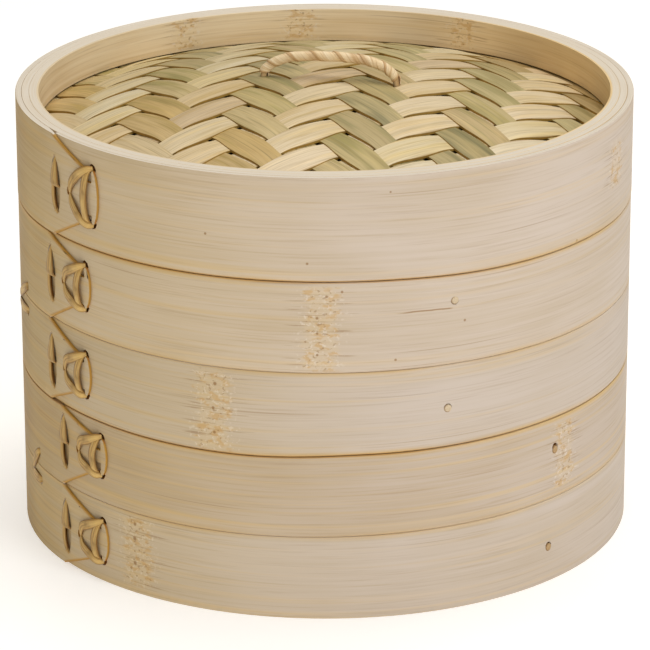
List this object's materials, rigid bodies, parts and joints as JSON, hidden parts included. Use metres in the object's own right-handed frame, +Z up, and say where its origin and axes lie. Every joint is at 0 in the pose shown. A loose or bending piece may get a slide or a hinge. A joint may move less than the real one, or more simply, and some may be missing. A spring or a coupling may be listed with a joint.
{
  "type": "bamboo steamer basket",
  "caption": "Round stacking bamboo steamer: laced hoop tiers with slatted floors and a lift-off woven, domed lid with a small wrapped handle.",
  "frame": {"origin": "centre of the circle that the lowest hoops stand on, on the resting surface", "axes": "+Z up along the stack's axis, +X to the right of the laced joints, -Y the front, with the laced joints at the front left"},
  "size_m": [0.2049, 0.2037, 0.1595],
  "materials": {
    "band": "planed bamboo strip, fine lengthwise fibres, satin",
    "backing": "bamboo strip, sawn edges, matt",
    "wall": "planed bamboo strip, tan, satin",
    "slat": "split bamboo slat, matt",
    "weave": "woven split bamboo, olive and cream strips, satin",
    "lacing": "bamboo skin lacing, slightly glossy",
    "peg": "bamboo nail, cut end",
    "withe": "bent bamboo withe",
    "wrap": "bamboo skin strip, pinkish tan, glossy"
  },
  "bodies": {
    "lower_tier": {"lower_tier_bottom_band": "band", "lower_tier_bottom_fan_stitch": "lacing", "lower_tier_bottom_spindle_stitch": "lacing", "lower_tier_bottom_peg": "peg", "lower_tier_top_band": "band", "lower_tier_top_fan_stitch": "lacing", "lower_tier_top_spindle_stitch": "lacing", "lower_tier_top_peg": "peg", "lower_tier_side_stitch": "lacing", "lower_tier_backing_hoop": "backing", "lower_tier_inner_wall": "wall", "lower_tier_base_hoop": "wall", "lower_tier_front_cross_bar": "slat", "lower_tier_back_cross_bar": "slat", "lower_tier_slat_1": "slat", "lower_tier_slat_2": "slat", "lower_tier_slat_3": "slat", "lower_tier_slat_4": "slat", "lower_tier_slat_5": "slat", "lower_tier_slat_6": "slat", "lower_tier_slat_7": "slat", "lower_tier_slat_8": "slat", "lower_tier_slat_9": "slat", "lower_tier_slat_10": "slat"},
    "upper_tier": {"upper_tier_bottom_band": "band", "upper_tier_bottom_fan_stitch": "lacing", "upper_tier_bottom_spindle_stitch": "lacing", "upper_tier_bottom_peg": "peg", "upper_tier_top_band": "band", "upper_tier_top_fan_stitch": "lacing", "upper_tier_top_spindle_stitch": "lacing", "upper_tier_top_peg": "peg", "upper_tier_side_stitch": "lacing", "upper_tier_backing_hoop": "backing", "upper_tier_inner_wall": "wall", "upper_tier_base_hoop": "wall", "upper_tier_front_cross_bar": "slat", "upper_tier_back_cross_bar": "slat", "upper_tier_slat_1": "slat", "upper_tier_slat_2": "slat", "upper_tier_slat_3": "slat", "upper_tier_slat_4": "slat", "upper_tier_slat_5": "slat", "upper_tier_slat_6": "slat", "upper_tier_slat_7": "slat", "upper_tier_slat_8": "slat", "upper_tier_slat_9": "slat", "upper_tier_slat_10": "slat"},
    "lid": {"lid_band": "band", "lid_backing_hoop": "backing", "lid_fan_stitch": "lacing", "lid_spindle_stitch": "lacing", "lid_rim_hoop": "wall", "lid_seat_hoop": "wall", "lid_woven_dome": "weave", "lid_woven_lining": "weave", "lid_handle_withe": "withe", "lid_handle_wrap": "wrap"}
  },
  "joints": [
    {"name": "upper_tier_lift", "type": "slide", "parent": "lower_tier", "child": "upper_tier", "axis": [0, 0, 1], "range_m": [0, 0.12]},
    {"name": "lid_lift", "type": "slide", "parent": "upper_tier", "child": "lid", "axis": [0, 0, 1], "range_m": [0, 0.12]}
  ]
}
